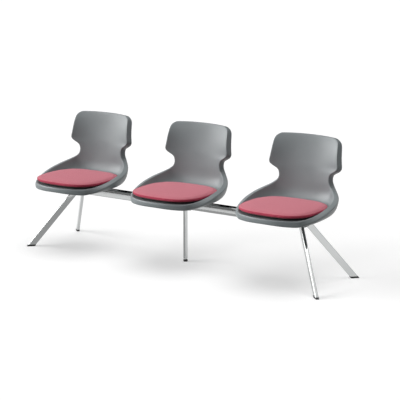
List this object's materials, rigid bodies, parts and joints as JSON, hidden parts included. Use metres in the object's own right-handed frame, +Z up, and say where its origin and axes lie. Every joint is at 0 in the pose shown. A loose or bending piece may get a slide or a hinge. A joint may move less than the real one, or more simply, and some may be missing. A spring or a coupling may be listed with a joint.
{
  "type": "beam seating",
  "caption": "Beam seating: moulded bucket shells with oval seat pads, bracketed to a shared chromed tube that stands on splayed flat-tube legs.",
  "frame": {"origin": "on the floor under the middle leg, in the middle of the beam", "axes": "+X along the beam towards the viewer's right, -Y the way the sitters face, +Z up"},
  "size_m": [2.0232, 0.5752, 0.8019],
  "materials": {
    "shell_foam": "satin grey self-skinning polyurethane foam",
    "pad_fabric": "dusty rose woven upholstery over foam",
    "plywood": "bare birch plywood, hidden",
    "black_plastic": "black moulded plastic",
    "chromed_steel": "polished chrome plate on steel tube",
    "zinc_steel": "zinc plated fasteners",
    "black_steel": "black powder coat, hidden under the seat",
    "brass": "plain turned brass"
  },
  "bodies": {
    "frame": {"beam_tube": "chromed_steel", "left_beam_cap": "black_plastic", "left_leg_saddle": "chromed_steel", "left_saddle_bolts": "zinc_steel", "left_front_leg": "chromed_steel", "left_front_foot": "black_plastic", "left_rear_leg": "chromed_steel", "left_rear_foot": "black_plastic", "right_beam_cap": "black_plastic", "right_leg_saddle": "chromed_steel", "right_saddle_bolts": "zinc_steel", "right_front_leg": "chromed_steel", "right_front_foot": "black_plastic", "right_rear_leg": "chromed_steel", "right_rear_foot": "black_plastic", "middle_leg": "chromed_steel", "middle_leg_bolts": "zinc_steel", "middle_leg_insert": "black_plastic", "left_seat_bracket": "black_steel", "left_bracket_bolts": "zinc_steel", "left_bracket_nuts": "zinc_steel", "left_shell": "shell_foam", "left_shell_inserts": "brass", "left_shell_screws": "zinc_steel", "left_pad_board": "plywood", "left_pad_studs": "black_plastic", "left_seat_pad": "pad_fabric", "middle_seat_bracket": "black_steel", "middle_bracket_bolts": "zinc_steel", "middle_bracket_nuts": "zinc_steel", "middle_shell": "shell_foam", "middle_shell_inserts": "brass", "middle_shell_screws": "zinc_steel", "middle_pad_board": "plywood", "middle_pad_studs": "black_plastic", "middle_seat_pad": "pad_fabric", "right_seat_bracket": "black_steel", "right_bracket_bolts": "zinc_steel", "right_bracket_nuts": "zinc_steel", "right_shell": "shell_foam", "right_shell_inserts": "brass", "right_shell_screws": "zinc_steel", "right_pad_board": "plywood", "right_pad_studs": "black_plastic", "right_seat_pad": "pad_fabric"},
    "levelling_foot": {"levelling_foot": "black_plastic"}
  },
  "joints": [
    {"name": "levelling_slide", "type": "slide", "parent": "frame", "child": "levelling_foot", "axis": [0, 0, 1], "range_m": [-0.006, 0.003]}
  ]
}
